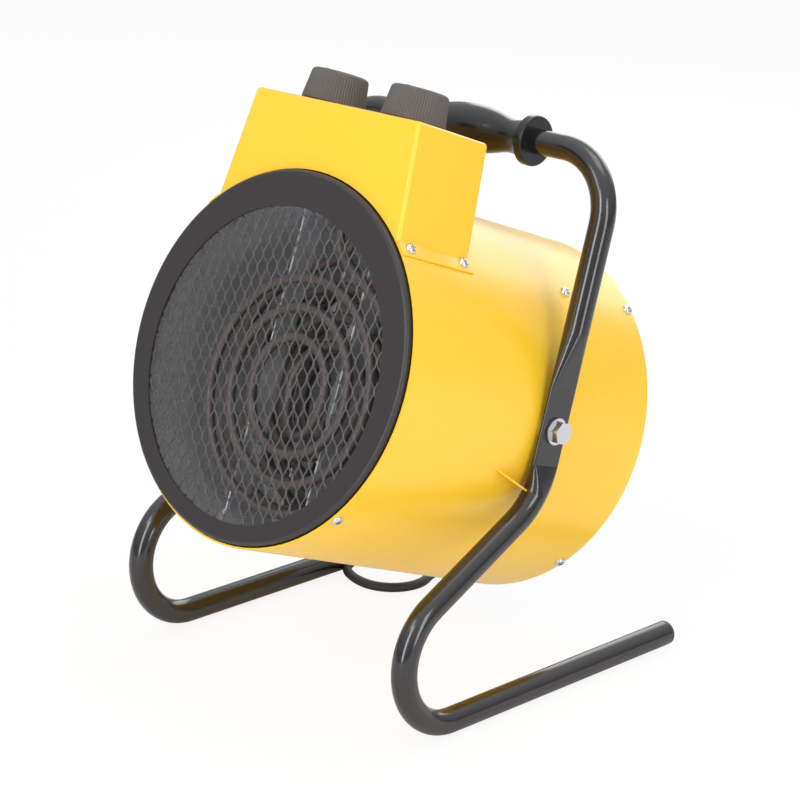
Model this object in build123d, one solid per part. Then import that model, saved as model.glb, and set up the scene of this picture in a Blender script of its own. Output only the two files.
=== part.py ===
from build123d import *
import math
import os

# Round forced air heater on a bent tube stand, in millimetres and degrees.
# +Z is up, the heater blows towards -Y, and the origin is on the floor under
# the middle of the heater.
# Every piece of the heater body is drawn level, with the pivot axis along X
# through zero and the front towards -Y, and is then tipped nose up.
# "Ahead" is a distance in front of the pivot axis along the heater's axis.

# --- stance -------------------------------------------------------------
nose_up = 20.3            # tilt of the heater body on its stops
pivot_height = 175.0      # pivot axis above the floor
axis_drop = 1.3           # axis of the round shell below the pivot axis
running_gap = 0.05        # radial gap of a shaft or bolt in its hole
seat_gap = 0.1            # gap between parts that are screwed together
body_gap = 0.3            # gap between parts that move past each other

# --- stand --------------------------------------------------------------
tube_r = 8.0
tube_wall = 1.5
leg_gap = 2.4             # between the shell and the flat of each leg
lean = 17.1               # the upper legs lean back from upright
upper_leg = 170.4         # pivot axis to the handle's axis, along the leg
top_bend = 42.0           # bends are measured on the tube's centre line
knee_drop = 44.0          # pivot axis to the knee, along the leg
knee_bend = 52.0
shin_slope = 27.3         # the lower legs slope down towards the front
foot_bend = 41.3
foot_back = 117.8         # pivot axis to the rear end of each foot
flat_wide = 23.4          # legs are pressed flat at the pivot
flat_thick = 3.4
flat_up = 26.0            # flat this far above the pivot
press_long = 36.0         # from flat to round above the pivot
press_short = 20.0        # from flat to round below it, in the knee
press_step = 0.1          # a pressed end is this much slimmer than the tube
cap_wall = 3.0
cap_plug = 12.0

# --- grip ---------------------------------------------------------------
grip_half = 56.0
grip_flange_r = 16.0
grip_flange_wide = 5.5
grip_neck_r = 11.3
grip_neck_wide = 8.0
grip_belly_r = 15.5

# --- shell --------------------------------------------------------------
shell_r = 117.7
shell_wall = 1.2
shell_front = 133.2       # front edge ahead of the pivot axis
shell_back = 95.7         # rear edge behind it
window_wide = 100.0        # opening under the control box
window_edge = 8.0

# --- stop tabs ----------------------------------------------------------
tab_thick = 1.2
tab_high = 10.0
tab_root = 0.8            # let this deep into the shell
tab_long = 34.0           # before its end is cut to meet the leg
tab_ahead = 32.5
tab_angle = -14.5         # round from level
tab_slope = 15.6

# --- front ring, grille and duct ----------------------------------------
ring_step = 2.1           # the ring is this much smaller than the shell
ring_front = 137.5
ring_wall = 1.2
ring_lip = 15.0
ring_round = 2.5
ring_cover = 3.0          # the ring covers this much of the duct's edge
duct_drop = 6.7           # duct and fan axis below the pivot axis
duct_space = 16.7         # between the shell and the duct
duct_wall = 0.9
duct_back = 50.0
grille_thick = 1.2
grille_rim = 4.0
grille_over = 1.0         # the grille is this much larger than the duct
diamond_wide = 11.4
diamond_tall = 20.0
strand = 1.3
bracket_wide = 14.0
bracket_wall = 1.5

# --- control box --------------------------------------------------------
box_rise = 40.0           # box top above the top of the shell's circle
box_half_top = 70.9
box_flare = 7.0           # the sides lean out by this angle
box_deep = 64.4
box_wall = 1.2
box_fold = 2.0
foot_wide = 8.4           # turned-out foot, measured round the shell

# --- knobs and what they turn -------------------------------------------
knob_x = 34.8
knob_ahead = 100.6
knob_base_r = 20.5
knob_top_r = 18.2
knob_high = 20.0
knob_lift = 1.2
knob_grooves = 30
knob_groove_r = 0.8
knob_pocket_r = 8.0
knob_pocket = 5.0
spindle_r = 3.0
spindle_up = 13.0
spindle_down = 12.0
bush_r = 5.0
bush_up = 4.0
control_wide = 34.0
switch_high = 30.0
thermostat_high = 20.0

# --- heating elements ---------------------------------------------------
element_r = 3.25
element_front = 107.0     # first layer of turns ahead of the pivot axis
element_layer = 24.0      # from one layer of turns to the next
element_x = 2.2           # middle of the turns
element_z = -16.6
element_space = 19.2      # from the duct to the middle of the outermost turn
element_step = 9.2        # each half turn is this much closer in
element_halves = 6
lead_arc_r = 80.0
lead_angle = 62.0
lead_run = 26.0
lead_bend = 24.0
lead_over = 2.7           # sheath ends this far above the duct
spacer_thick = 1.2
spacer_x = 33.0
terminal_r = 4.0
terminal_high = 5.0
pin_r = 1.2
pin_high = 2.5

# --- fan and motor ------------------------------------------------------
fan_space = 7.0           # between the blades and the duct
fan_blades = 5
fan_chord = 56.0
fan_pitch = 32.0
fan_camber = 7.0
fan_sheet = 1.5
fan_mid = 12.0            # middle of the blades behind the pivot axis
hub_r = 17.0
hub_long = 20.0
shaft_r = 3.0
shaft_front = 6.0         # tip of the shaft ahead of the pivot axis
fan_nut_flats = 10.0
fan_nut_thick = 5.0
cross_front = 44.0        # motor cross behind the pivot axis
cross_wide = 22.0
cross_thick = 2.0
cross_tab = 12.0
frame_thick = 2.5
frame_wide = 62.0
frame_tall = 20.0
boss_r = 9.5
boss_long = 8.0
bearing_r = 7.0
stack_front = 58.0        # laminations behind the pivot axis
stack_long = 18.0
stack_up = 31.0
stack_down = 44.0
stack_half = 31.0
limb = 12.0
window_half = 20.0
window_high = 9.0
coil_thick = 8.0
rotor_r = 17.0
rotor_gap = 0.4
motor_rear = 88.0
motor_bolt_r = 2.0
motor_bolt_x = 25.0
motor_post_r = 4.0
motor_nut_flats = 7.0
motor_nut_thick = 3.2

# --- rear cover ---------------------------------------------------------
cover_wall = 1.2
cover_inset = 0.5
cover_rim = 12.0
cover_round = 2.0
slot_rings = 4
slot_inner_r = 24.0
slot_step = 15.0
slot_wide = 7.0
slot_web = 8.0

# --- screws and pivot bolts ---------------------------------------------
head_r = 3.6
head_high = 2.3
recess_wide = 0.9
recess_long = 4.2
recess_deep = 1.2
screw_r = 1.7
screw_long = 8.0
flange_screws = [(125.0, 3.2), (76.2, 2.6)]     # ahead, and down from the box's side
plain_screws = [(129.2, -42.6), (-25.6, 46.5), (-91.0, 46.3), (-91.0, -45.4)]
bolt_r = 4.0
bolt_flats = 13.0
bolt_head = 5.5
bolt_long = 21.0
washer_r = 8.5
washer_thick = 1.6
plate_half = 10.0
plate_thick = 2.0
nut_thick = 6.0

# --- wiring -------------------------------------------------------------
inner_cord_r = 3.0
wire_r = 1.2
capillary_r = 0.8
bulb_r = 3.0
bulb_long = 60.0
bulb_behind = 30.0        # from the back of the box to the bulb
cutout_r = 8.0
cutout_high = 6.0
cutout_angle = 66.0       # round from level
block_wide = 50.0
block_deep = 14.0
block_high = 12.0
block_sink = 22.0         # middle of the block below the box's top

# --- cord ---------------------------------------------------------------
cord_r = 3.3
gland_x = -72.0
gland_z = -62.0
gland_r = 7.5
gland_neck_r = 6.0
gland_tip_r = 4.5
gland_long = 30.0
gland_flange = 3.0
coil_x = -112.0
coil_behind = 212.0       # behind the pivot axis
coil_turns = 3            # turns in each of two layers
coil_mid_r = 36.0
coil_gap = 0.7            # between neighbouring turns
coil_lift = 0.3           # between the two layers
tie_thick = 1.0
tie_wide = 8.0
tie_gap = 0.3
tail = 55.0               # from the coil to the plug
plug_r = 17.0
plug_long = 34.0
plug_relief = 22.0
plug_relief_r = 5.5
plug_pin_r = 2.4
plug_pin_long = 19.0
plug_pin_half = 9.5

# --- worked out from the sizes above ------------------------------------
turn = math.radians(nose_up)
stand_half = shell_r + leg_gap + flat_thick / 2
ring_r = shell_r - ring_step
duct_r = shell_r - duct_space
ring_hole_r = duct_r - ring_cover
box_top = shell_r + box_rise
fan_r = duct_r - fan_space
element_reach = duct_r - element_space
lead_top = duct_r - duct_drop + lead_over
front_low = axis_drop + ring_r - ring_round
front_reach = ring_front * math.cos(turn) + front_low * math.sin(turn)
back_high = shell_r - axis_drop
back_reach = shell_back * math.cos(turn) + back_high * math.sin(turn)
pivot_y = (front_reach - back_reach) / 2
heater_place = Pos(0, pivot_y, pivot_height) * Rot(-nose_up, 0, 0)
level_again = heater_place.inverse()
shell_inner = shell_r - shell_wall
grille_front = ring_front - ring_wall - seat_gap
duct_front = grille_front - grille_thick - seat_gap
box_front = shell_front
box_back = box_front - box_deep
box_spread = math.tan(math.radians(box_flare))
leg_out = stand_half + flat_thick / 2
leg_in = stand_half - flat_thick / 2
knee_turn = math.radians(90 - lean - shin_slope)
flat_down = knee_drop - knee_bend * math.tan(knee_turn / 2)
cover_face = cover_inset - shell_back


def across(ahead):
    """A plane square to the heater's axis, facing the front."""
    return Plane.XZ.offset(ahead)


def drum(radius, back, front, drop=axis_drop):
    """A cylinder on the heater's axis, between two distances ahead."""
    disc = across(back) * Pos(0, -drop) * Circle(radius)
    return extrude(disc, front - back)


def pipe(outer, inner, back, front, drop=axis_drop):
    return drum(outer, back, front, drop) - drum(inner, back - 1, front + 1, drop)


def on_shell(ahead, angle, radius=shell_r):
    """A plane on the shell, its Z pointing outwards and its X to the front."""
    a = math.radians(angle)
    out = Vector(math.cos(a), 0, math.sin(a))
    spot = Vector(0, -ahead, -axis_drop) + out * radius
    return Plane(origin=spot, x_dir=(0, -1, 0), z_dir=out)


def both_sides(solids):
    return list(solids) + [mirror(s, about=Plane.YZ) for s in solids]


def sideways(face, start, end):
    """A face in the side plane, drawn out along X between two distances."""
    return extrude(Plane.YZ.offset(start) * face, end - start)


def hexagon(flats):
    return RegularPolygon(flats / 2, 6, major_radius=False)


def side_point(behind, up, x=0.0):
    """A point of the stand, measured from the pivot axis."""
    return Vector(x, pivot_y + behind, pivot_height + up)


def on_floor(x, behind, up=cord_r):
    return Vector(x, pivot_y + behind, up)


def tube_on(path, radius):
    """A round section drawn along a smooth path."""
    return sweep(Plane(origin=path @ 0, z_dir=path % 0) * Circle(radius), path=path)


def bent(points, share=0.45):
    """A line through corner points, with the widest bends that fit."""
    points = [Vector(*p) for p in points]
    radii = []
    for before, here, after in zip(points, points[1:], points[2:]):
        run = min((here - before).length, (after - here).length)
        half = math.radians((here - before).get_angle(after - here)) / 2
        radii.append(share * run / math.tan(half))
    print("bend radii", [round(r, 1) for r in radii])
    return FilletPolyline(*points, radius=radii)


def half_turns(middle, swing, sides, heights):
    """Half circles that meet smoothly on the two sides of a middle point."""
    points = []
    for k, (side, height) in enumerate(zip(sides, heights)):
        points.append(middle + Vector(side * (-1) ** k, 0, height))
    arcs = []
    for k, (start, end) in enumerate(zip(points, points[1:])):
        radius = (end - start).length / 2
        top = (start + end) * 0.5 + Vector(0, swing * (-1) ** k, 0) * radius
        arcs.append(ThreePointArc(start, top, end))
    return arcs


def measure_tube(name, path, solid, radius, samples=900):
    """Print the tube's length, its volume check and its least gap to itself."""
    length = path.length
    points = [path.position_at(length * k / samples, PositionMode.LENGTH)
              for k in range(samples + 1)]
    step = length / samples
    skip = int(8 * radius / step) + 1
    least = length
    for i, a in enumerate(points):
        for b in points[i + skip:]:
            least = min(least, (a - b).length)
    ideal = math.pi * radius ** 2 * length
    print(name, "length", round(length, 1), "volume ratio",
          round(solid.volume / ideal, 4), "least gap", round(least - 2 * radius, 2))


# ------------------------------------------------------------------ stand
def up_the_leg(distance):
    a = math.radians(lean)
    return distance * math.sin(a), distance * math.cos(a)


def leg_corners():
    """Corners of one leg in the side plane: behind and above the pivot."""
    top = up_the_leg(upper_leg)
    knee = up_the_leg(-knee_drop)
    floor = tube_r - pivot_height
    toe = knee[0] - (knee[1] - floor) / math.tan(math.radians(shin_slope))
    return top, knee, (toe, floor), (foot_back, floor)


def leg_line():
    """Centre line of a leg, from where it is pressed down to the foot's end."""
    top, knee, toe, heel = leg_corners()
    start = up_the_leg(flat_up + press_long)
    points = [side_point(*p) for p in (start, knee, toe, heel)]
    return FilletPolyline(*points, radius=[knee_bend, foot_bend])


def press_face(line, down, squash, grow):
    """Section of a leg this far down its line, round at 0 and flat at 1."""
    size = 2 * (tube_r - press_step + grow)
    wide = size + (flat_wide + 2 * grow - size) * squash
    thick = size + (flat_thick + 2 * grow - size) * squash
    spot = line.position_at(down, PositionMode.LENGTH)
    along = line.tangent_at(down, PositionMode.LENGTH)
    plane = Plane(origin=spot, x_dir=(1, 0, 0), z_dir=along)
    return plane * RectangleRounded(thick, wide, thick / 2 - 0.05)


def pressed_leg(grow=0.0):
    """The stretch of a leg at the pivot that is pressed flat."""
    line = leg_line()
    flat_end = press_long + flat_up + flat_down
    upper = [press_face(line, press_long * k / 3, k / 3, grow) for k in range(4)]
    lower = []
    for k in range(4):
        down = flat_end + press_short * k / 3
        lower.append(press_face(line, down, 1 - k / 3, grow))
    middle = extrude(press_face(line, press_long, 1, grow), flat_end - press_long)
    return loft(upper) + middle + loft(lower)


def shin_line():
    """Centre line of the round part of a leg below the pressed stretch."""
    line = leg_line()
    down = press_long + flat_up + flat_down + press_short
    return line.trim(down / line.length, 1)


def stand_tube():
    """One bent tube: two feet, two legs and the handle across the top."""
    top = leg_corners()[0]
    joint = up_the_leg(flat_up + press_long)
    corners = [side_point(*joint, -stand_half), side_point(*top, -stand_half)]
    corners += [side_point(*top, stand_half), side_point(*joint, stand_half)]
    arch = FilletPolyline(*corners, radius=top_bend)
    bore_r = tube_r - tube_wall
    handle = tube_on(arch, tube_r) - tube_on(arch, bore_r)
    shin = tube_on(shin_line(), tube_r) - tube_on(shin_line(), bore_r)
    leg = pressed_leg() + shin
    hole = Pos(*side_point(0, 0)) * Rot(0, 90, 0)
    leg -= hole * Cylinder(bolt_r + running_gap, flat_wide)
    return handle + Pos(-stand_half, 0, 0) * leg + Pos(stand_half, 0, 0) * leg


def handle_grip():
    """Moulded grip on the handle, with a flange and a neck at each end."""
    inner = tube_r + running_gap
    rim = grip_half - grip_flange_wide
    neck = rim - grip_neck_wide
    outline = Polyline((grip_belly_r, 0), (inner, 0), (inner, grip_half),
                       (grip_flange_r, grip_half), (grip_flange_r, rim))
    outline += Spline((grip_flange_r, rim), (grip_neck_r, neck), (grip_belly_r, 0),
                      tangents=[(-1, -0.5), (0, -1)])
    half = revolve(make_face(outline), axis=Axis.Y)
    whole = half + mirror(half, about=Plane.XZ)
    rims = whole.edges().filter_by(GeomType.CIRCLE).group_by(SortBy.RADIUS)[-1]
    ends = rims.group_by(Axis.Y)
    whole = fillet(ends[0] + ends[-1], grip_flange_wide / 4)
    return Pos(*side_point(*leg_corners()[0])) * Rot(0, 0, 90) * whole


def foot_caps():
    """Plastic plugs that close the rear ends of both feet."""
    plane = Plane(origin=side_point(*leg_corners()[3]), z_dir=(0, 1, 0))
    head = extrude(plane * Circle(tube_r), cap_wall)
    head = fillet(head.faces().sort_by(Axis.Y)[-1].edges(), cap_wall / 2)
    stem = extrude(plane * Circle(tube_r - tube_wall - running_gap), -cap_plug)
    cap = head + stem
    return [Pos(x, 0, 0) * cap for x in (-stand_half, stand_half)]


# ------------------------------------------------------------------ shell
def screw_places():
    """Where each screw enters: a plane on the surface under its head."""
    places = []
    feet = [(ahead, math.degrees(foot_angle() - down / shell_r))
            for ahead, down in flange_screws]
    for spots, lift in ((feet, box_wall), (plain_screws, 0.0)):
        for ahead, angle in spots:
            places.append(on_shell(ahead, angle, shell_r + lift))
            places.append(on_shell(ahead, 180 - angle, shell_r + lift))
    return places


def screw_holes():
    bore = Circle(screw_r + running_gap)
    return [extrude(place.offset(1) * bore, -screw_long - 2)
            for place in screw_places()]


def stop_tab():
    """Tab on the right of the shell that meets the knee of the leg."""
    plate = Pos(-tab_long / 2, 0, (tab_high - tab_root) / 2)
    plate *= Box(tab_long, tab_thick, tab_high + tab_root)
    tab = on_shell(tab_ahead, tab_angle) * Rot(0, 0, -tab_slope) * plate
    leg = pressed_leg(body_gap) + tube_on(shin_line(), tube_r + body_gap)
    tab -= level_again * Pos(stand_half, 0, 0) * leg
    return tab.solids().sort_by(Axis.Y)[0]


def outer_shell():
    """Rolled steel casing with its two stop tabs."""
    shell = pipe(shell_r, shell_inner, -shell_back, shell_front)
    shell += both_sides([stop_tab()])
    window = Box(window_wide, box_deep - 2 * window_edge, shell_r)
    shell -= Pos(0, -(box_front + box_back) / 2, shell_r) * window
    shell -= Rot(0, 90, 0) * Cylinder(bolt_r + running_gap, 3 * shell_r)
    return shell - screw_holes()


def box_section(inset):
    """Front outline of the control box, running down inside the shell."""
    top = box_top - inset
    half = box_half_top - inset
    spread = half + top * box_spread
    return make_face(Polyline((-half, top), (half, top), (spread, 0), (-spread, 0),
                              close=True))


def foot_angle():
    """Angle round from level at which the box's side meets the shell."""
    angle = math.pi / 2
    side = box_half_top
    while shell_r * math.cos(angle) < side:
        angle -= 0.001
        height = shell_r * math.sin(angle) - axis_drop
        side = box_half_top + (box_top - height) * box_spread
    return angle


def control_box():
    """Folded sheet box on top of the shell, with feet turned out along it."""
    outer = extrude(across(box_back) * box_section(0), box_deep)
    folds = outer.edges().filter_by(Axis.Y).group_by(Axis.Z)[-1]
    outer = fillet(folds, box_fold)
    inside = box_deep - 2 * box_wall
    inner = extrude(across(box_back + box_wall) * box_section(box_wall), inside)
    box = outer - inner - drum(shell_r, box_back - 1, box_front + 1)
    box = box.solids().sort_by(SortBy.VOLUME)[-1]
    high = foot_angle() + 1.5 * box_wall / shell_r
    low = foot_angle() - foot_wide / shell_r
    far = 2 * shell_r
    edge = [(far * math.cos(a), far * math.sin(a)) for a in (high, low)]
    wedge = make_face(Polyline((0, 0), edge[0], edge[1], close=True))
    foot = pipe(shell_r + box_wall, shell_r, box_back, box_front)
    foot &= extrude(across(box_back) * Pos(0, -axis_drop) * wedge, box_deep)
    box += both_sides(foot.solids())
    box -= screw_holes()
    bush = Cylinder(bush_r + running_gap, 3 * box_wall)
    for x in (-knob_x, knob_x):
        box -= Pos(x, -knob_ahead, box_top) * bush
    return box


# ------------------------------------------------- front ring and grille
def front_ring():
    """Pressed ring with a rolled edge; its hole sits lower than its rim."""
    solid = drum(ring_r, ring_front - ring_lip, ring_front)
    rim = solid.edges().filter_by(GeomType.CIRCLE).sort_by(Axis.Y)[0]
    solid = fillet(rim, ring_round)
    back = ring_front - ring_lip - 1
    hollow = drum(ring_r - ring_wall, back, ring_front - ring_wall)
    rim = hollow.edges().filter_by(GeomType.CIRCLE).sort_by(Axis.Y)[0]
    hollow = fillet(rim, ring_round - ring_wall)
    ring = solid - hollow - drum(ring_hole_r, back, ring_front + 1, duct_drop)
    return ring - screw_holes()


def diamond_wires(open_r):
    """Openings of the expanded metal, clipped to a circle."""
    half_w = diamond_wide / 2
    half_t = diamond_tall / 2
    slope = math.hypot(half_w, half_t)
    slim_w = half_w - strand * slope / half_t / 2
    slim_t = half_t - strand * slope / half_w / 2
    disc = Face(Wire.make_circle(open_r))
    wires = []
    rows = int(open_r / half_t) + 1
    columns = int(open_r / half_w) + 1
    for row in range(-rows, rows + 1):
        for column in range(-columns, columns + 1):
            x = column * half_w
            z = row * half_t
            if (row + column) % 2 or math.hypot(x, z) > open_r + half_w:
                continue
            corners = [(x, z + slim_t), (x + slim_w, z)]
            corners += [(x, z - slim_t), (x - slim_w, z)]
            wire = Wire.make_polygon(corners, close=True)
            if max(math.hypot(*c) for c in corners) < open_r:
                wires.append(wire)
                continue
            cut = Face(wire) & disc
            for part in cut.faces() if cut else []:
                if part.area > strand * half_w:
                    wires.append(part.outer_wire())
    return wires


def front_grille():
    """Expanded metal disc, held between the ring and the duct."""
    rim_r = duct_r + grille_over
    holes = diamond_wires(rim_r - grille_rim)
    print("grille openings", len(holes))
    net = Face(Wire.make_circle(rim_r), holes)
    plane = across(grille_front - grille_thick) * Pos(0, -duct_drop)
    return extrude(plane * net, grille_thick)


def lead_places():
    """Where the element leads come through the duct: x and ahead."""
    a = math.radians(lead_angle)
    inward = (lead_arc_r + lead_bend) * (1 - math.cos(a)) + lead_run * math.sin(a)
    x = element_reach - inward
    places = []
    for element in range(2):
        front = element_front - 2 * element * element_layer
        places.append((element_x + x, front))
        places.append((element_x - x, front - element_layer))
    return places


def cross_planes():
    """Planes on the duct's wall at the four ends of the motor cross."""
    behind = cross_front + cross_thick - cross_tab / 2
    planes = []
    for angle in range(0, 360, 90):
        a = math.radians(angle)
        out = Vector(math.cos(a), 0, math.sin(a))
        spot = Vector(0, behind, -duct_drop) + out * duct_r
        planes.append(Plane(origin=spot, x_dir=(0, -1, 0), z_dir=out))
    return planes


def cross_holes():
    bore = Circle(screw_r + running_gap)
    return [extrude(place * bore, screw_long, both=True) for place in cross_planes()]


def bracket_blocks():
    """Blocks that cut each duct bracket to shape, and its lower hole."""
    tall = 2 * (shell_r - duct_r) + 20
    step = (bracket_wide + bracket_wall) / 2
    block = Box(bracket_wide, bracket_wide, tall)
    web = Pos(-step, 0, 0) * Box(bracket_wall, bracket_wide, tall)
    low = Pos(-2 * step, 0, 0)
    hole = low * Cylinder(screw_r + running_gap, tall)
    ahead, angle = plain_screws[1]
    blocks = []
    for a in (angle, 180 - angle):
        out = on_shell(ahead, a, shell_inner)
        blocks.append([out * shape for shape in (block, web, low * block, hole)])
    return blocks


def duct_brackets():
    """Two Z brackets that hang the rear of the duct from the shell."""
    back = -shell_back
    top = shell_inner - seat_gap
    low = duct_r + seat_gap
    top_skin = pipe(top, top - bracket_wall, back, 0)
    low_skin = pipe(low + bracket_wall, low, back, 0, duct_drop)
    space = drum(top, back, 0) - drum(low, back, 0, duct_drop)
    brackets = []
    for upper, web, lower, hole in bracket_blocks():
        bracket = (upper & top_skin) + (web & space) + (lower & low_skin)
        brackets += (bracket - screw_holes() - hole).solids()
    return brackets


def inner_duct():
    """Bright steel duct round the fan and the elements."""
    duct = pipe(duct_r, duct_r - duct_wall, -duct_back, duct_front, duct_drop)
    for x, ahead in lead_places():
        duct -= Pos(x, -ahead, duct_r) * Cylinder(element_r + 1, duct_r)
    for upper, web, lower, hole in bracket_blocks():
        duct -= hole
    return duct - cross_holes()


# ---------------------------------------------------------- elements
def element_path():
    """One element: a lead in, a layer of turns in, a layer out, a lead out."""
    a = math.radians(lead_angle)
    middle = Vector(element_x, element_z, 0)
    sides = [element_reach - k * element_step for k in range(element_halves + 1)]
    layer = [0.0] * len(sides)
    depths = layer + [-element_layer for k in layer]
    turns = half_turns(middle, -1, sides + sides[::-1], depths)
    end = Vector(element_reach, 0, 0)
    hub = end - Vector(lead_arc_r, 0, 0)
    out = Vector(math.cos(a), math.sin(a), 0)
    leave = hub + out * lead_arc_r
    near = leave + Vector(-math.sin(a), math.cos(a), 0) * lead_run
    bend_hub = near + out * lead_bend
    rise = bend_hub - Vector(lead_bend, 0, 0)
    top = Vector(rise.X, lead_top - element_z, 0)
    out_half = Vector(math.cos(a / 2), math.sin(a / 2), 0)
    lead = [Line(top, rise)]
    lead.append(ThreePointArc(rise, bend_hub - out_half * lead_bend, near))
    lead.append(Line(near, leave))
    lead.append(ThreePointArc(leave, hub + out_half * lead_arc_r, end))
    place = Pos(*middle)
    behind = Pos(0, 0, -element_layer)
    lead_in = [place * edge for edge in lead]
    lead_out = [place * behind * edge.mirror(Plane.YZ) for edge in lead[::-1]]
    return Wire(lead_in + turns + lead_out)


def heating_element(number):
    plane = across(element_front - 2 * number * element_layer)
    path = plane * element_path()
    solid = tube_on(path, element_r)
    if number == 0:
        measure_tube("heating element", path, solid, element_r)
    return solid


def element_spacers():
    """Upright strips between the layers, reaching the duct at both ends."""
    strips = []
    deep = element_layer - 2 * element_r - 2 * seat_gap
    inner_r = duct_r - duct_wall - seat_gap
    for number in range(2):
        ahead = element_front - (2 * number + 0.5) * element_layer
        room = drum(inner_r, ahead - deep, ahead + deep, duct_drop)
        for x in (element_x - spacer_x, element_x + spacer_x):
            strip = Pos(x, -ahead, -duct_drop) * Box(spacer_thick, deep, 2 * duct_r)
            strips.append(strip & room)
    return strips


def element_terminals():
    """Ceramic sleeves and pins on the ends of the element leads."""
    sleeves = []
    for x, ahead in lead_places():
        base = Plane(origin=(x, -ahead, lead_top))
        sleeve = extrude(base * Circle(terminal_r), terminal_high)
        sleeves.append(sleeve + extrude(base * Circle(pin_r), terminal_high + pin_high))
    return sleeves


# ------------------------------------------------------- fan and motor
def fan_blade():
    """One cambered blade reaching out along X from the fan's axis."""
    half = fan_chord / 2
    bend = (half ** 2 + fan_camber ** 2) / (2 * fan_camber)
    ring = Circle(bend + fan_sheet / 2) - Circle(bend - fan_sheet / 2)
    strip = Pos(0, bend) * Rectangle(fan_chord, 2 * fan_camber + fan_sheet)
    arc = Pos(0, -bend + fan_camber / 2) * (ring & strip)
    section = Plane.YZ.offset(hub_r / 2) * Rot(0, 0, 90 - fan_pitch) * arc
    return extrude(section, fan_r) & Rot(90, 0, 0) * Cylinder(fan_r, fan_chord)


def fan_impeller():
    """Pressed blades on a hub, centred on the duct."""
    fan = Rot(90, 0, 0) * Cylinder(hub_r, hub_long)
    blade = fan_blade()
    for k in range(fan_blades):
        fan += Rot(0, k * 360 / fan_blades, 0) * blade
    fan -= Rot(90, 0, 0) * Cylinder(shaft_r + running_gap, fan_chord)
    return Pos(0, fan_mid, -duct_drop) * fan


def fan_nut():
    front = hub_long / 2 - fan_mid + seat_gap
    plane = across(front) * Pos(0, -duct_drop)
    nut = hexagon(fan_nut_flats) - Circle(shaft_r + running_gap)
    return extrude(plane * nut, fan_nut_thick)


def motor_rotor():
    """Shaft and rotor, turning together with the fan."""
    shaft = drum(shaft_r, -motor_rear, shaft_front, duct_drop)
    return shaft + drum(rotor_r, -stack_front - stack_long, -stack_front, duct_drop)


def motor_bar(face, x, back, front):
    """A face drawn out along the heater's axis beside the shaft."""
    return extrude(across(back) * Pos(x, -duct_drop) * face, front - back)


def motor_holes():
    bore = Circle(motor_bolt_r + running_gap)
    return [motor_bar(bore, x, -2 * motor_rear, 0) for x in (-motor_bolt_x, motor_bolt_x)]


def frame_fronts():
    """Front faces of the two motor frames, ahead of the pivot axis."""
    return -cross_front - cross_thick - seat_gap, -motor_rear + boss_long / 2


def motor_cross():
    """Four arms across the duct, with tabs bent forward against its wall."""
    back = -cross_front - cross_thick
    inner_r = duct_r - duct_wall - seat_gap
    centre = Pos(0, -back - cross_thick / 2, -duct_drop)
    arms = centre * Box(2 * inner_r, cross_thick, cross_wide)
    arms += centre * Box(cross_wide, cross_thick, 2 * inner_r)
    cross = arms & drum(inner_r, back - 1, back + cross_tab, duct_drop)
    rim = pipe(inner_r, inner_r - cross_thick, back, back + cross_tab, duct_drop)
    centre = Pos(0, -back - cross_tab / 2, -duct_drop)
    bars = centre * Box(2 * duct_r, cross_tab, cross_wide)
    bars += centre * Box(cross_wide, cross_tab, 2 * duct_r)
    cross += rim & bars
    cross -= drum(boss_r + seat_gap, back - 1, back + cross_tab + 1, duct_drop)
    return cross - cross_holes() - motor_holes()


def motor_frames():
    """Bearing frames in front of and behind the laminations."""
    frames = []
    for face in frame_fronts():
        middle = face - frame_thick / 2
        plate = Rectangle(frame_wide, frame_tall)
        frame = motor_bar(plate, 0, face - frame_thick, face)
        frame += drum(boss_r, middle - boss_long / 2, middle + boss_long / 2, duct_drop)
        frame -= drum(bearing_r, middle - boss_long, middle + boss_long, duct_drop)
        frames.append(frame - motor_holes())
    return frames


def motor_bearings():
    """Sleeve bearings in both frames."""
    bearings = []
    for face in frame_fronts():
        back = face - frame_thick / 2 - boss_long / 2
        bearings.append(pipe(bearing_r - 0.01, shaft_r + running_gap, back,
                             back + boss_long, duct_drop))
    return bearings


def motor_laminations():
    """Stack of steel sheets round the rotor, with a limb for the coil."""
    high = stack_up + stack_down
    outline = Pos(0, (stack_up - stack_down) / 2) * Rectangle(2 * stack_half, high)
    low = limb + window_high / 2 - stack_down
    outline -= Pos(0, low) * Rectangle(2 * window_half, window_high)
    outline -= Circle(rotor_r + rotor_gap)
    stack = motor_bar(outline, 0, -stack_front - stack_long, -stack_front)
    return stack - motor_holes()


def motor_coil():
    """Winding on the lower limb of the laminations."""
    middle = Pos(0, stack_front + stack_long / 2, limb / 2 - stack_down - duct_drop)
    thick = min(coil_thick, window_high - 2 * seat_gap)
    long = 2 * window_half - 2
    coil = Box(long, stack_long + 2 * thick, limb + 2 * thick)
    core = Box(long + 2, stack_long + 2 * seat_gap, limb + 2 * seat_gap)
    return middle * (coil - core)


def motor_bolts():
    """Two long bolts with spacers and nuts, through cross, frames and stack."""
    front_face, rear_face = frame_fronts()
    head = -cross_front + seat_gap
    nut_front = rear_face - frame_thick - seat_gap
    nut_back = nut_front - motor_nut_thick
    stack_back = -stack_front - stack_long
    sleeve = Circle(motor_post_r) - Circle(motor_bolt_r + running_gap)
    nut = hexagon(motor_nut_flats) - Circle(motor_bolt_r + running_gap)
    bolts = []
    for x in (-motor_bolt_x, motor_bolt_x):
        shank = motor_bar(Circle(motor_bolt_r), x, nut_back - 1, head + 1)
        bolts.append(shank + motor_bar(Circle(motor_post_r), x, head, head + 3))
        bolts.append(motor_bar(sleeve, x, -stack_front + seat_gap,
                               front_face - frame_thick - seat_gap))
        bolts.append(motor_bar(sleeve, x, rear_face + seat_gap, stack_back - seat_gap))
        bolts.append(motor_bar(nut, x, nut_back, nut_front))
    return bolts


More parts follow.
